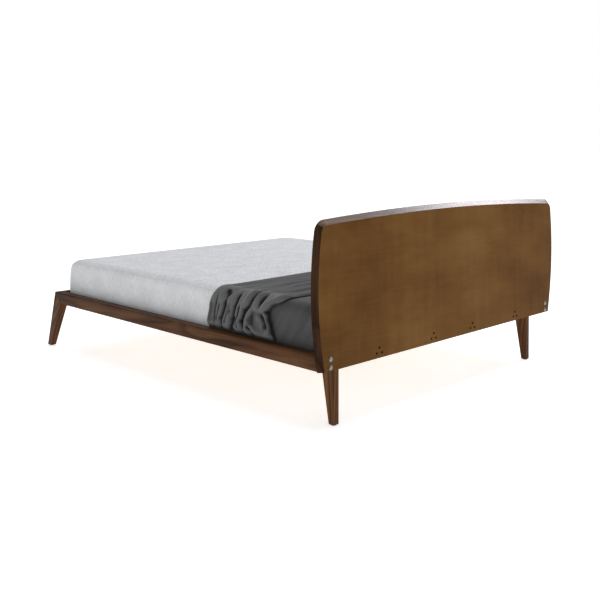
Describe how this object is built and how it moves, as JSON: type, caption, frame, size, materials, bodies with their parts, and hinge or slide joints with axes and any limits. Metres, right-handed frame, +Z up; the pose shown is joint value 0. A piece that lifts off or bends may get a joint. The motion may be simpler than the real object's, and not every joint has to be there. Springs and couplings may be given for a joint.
{
  "type": "platform bed",
  "caption": "Mid-century platform bed: flat headboard with bowed sides and a bevelled arched edge, mitred rails, splayed tapered legs, slats, mattress and charcoal throw.",
  "frame": {"origin": "on the floor, under the middle of the bed's outer box", "axes": "+Z up, +Y towards the headboard, +X to the right of a person who stands at the foot and faces the headboard"},
  "size_m": [2.02, 2.3545, 0.953],
  "materials": {
    "walnut": "satin oiled walnut with long flowing grain",
    "walnut_veneer": "satin walnut veneer, grain along the board",
    "stained_plywood": "stained plywood back with faint mottled figure",
    "pine": "planed softwood, unfinished",
    "zinc_steel": "bright zinc plate",
    "black_steel": "black oxide",
    "black_nylon": "matt moulded nylon",
    "mattress_knit": "pale quilted knit cover",
    "charcoal_throw": "soft brushed charcoal knit",
    "charcoal_sheet": "smooth charcoal cotton"
  },
  "bodies": {
    "bed": {"head_cross_rail": "walnut", "foot_rail": "walnut", "left_side_rail": "walnut", "right_side_rail": "walnut", "left_foot_leg": "walnut", "right_foot_leg": "walnut", "left_head_leg": "walnut", "right_head_leg": "walnut", "headboard_top_edge": "walnut", "headboard_left_edge": "walnut", "headboard_right_edge": "walnut", "headboard_bottom_edge": "walnut", "headboard_panel": "walnut_veneer", "headboard_back_skin": "stained_plywood", "left_slat_ledger": "pine", "right_slat_ledger": "pine", "centre_beam": "pine", "left_corner_block": "pine", "right_corner_block": "pine", "centre_leg_head": "pine", "centre_leg_foot": "pine", "slat_01": "pine", "slat_02": "pine", "slat_03": "pine", "slat_04": "pine", "slat_05": "pine", "slat_06": "pine", "slat_07": "pine", "slat_08": "pine", "slat_09": "pine", "slat_10": "pine", "slat_11": "pine", "slat_12": "pine", "slat_13": "pine", "slat_14": "pine", "headboard_bolts": "zinc_steel", "headboard_bolt_washers": "zinc_steel", "left_head_bracket": "zinc_steel", "right_head_bracket": "zinc_steel", "beam_hanger_head": "zinc_steel", "beam_hanger_foot": "zinc_steel", "centre_plate_head": "zinc_steel", "centre_plate_foot": "zinc_steel", "threaded_insert_head": "zinc_steel", "threaded_insert_foot": "zinc_steel", "head_leg_bolts": "zinc_steel", "corner_block_screws": "zinc_steel", "slat_screws": "zinc_steel", "bracket_screws": "zinc_steel", "hanger_screws": "zinc_steel", "centre_plate_screws": "zinc_steel", "cross_rail_screws": "black_steel", "leg_glides": "black_nylon", "mattress": "mattress_knit", "charcoal_throw": "charcoal_throw", "charcoal_sheet": "charcoal_sheet"},
    "leveller_head": {"leveller_head": "black_nylon"},
    "leveller_foot": {"leveller_foot": "black_nylon"}
  },
  "joints": [
    {"name": "level_head", "type": "slide", "parent": "bed", "child": "leveller_head", "axis": [0, 0, 1], "range_m": [-0.008, 0.02]},
    {"name": "level_foot", "type": "slide", "parent": "bed", "child": "leveller_foot", "axis": [0, 0, 1], "range_m": [-0.008, 0.02]}
  ]
}
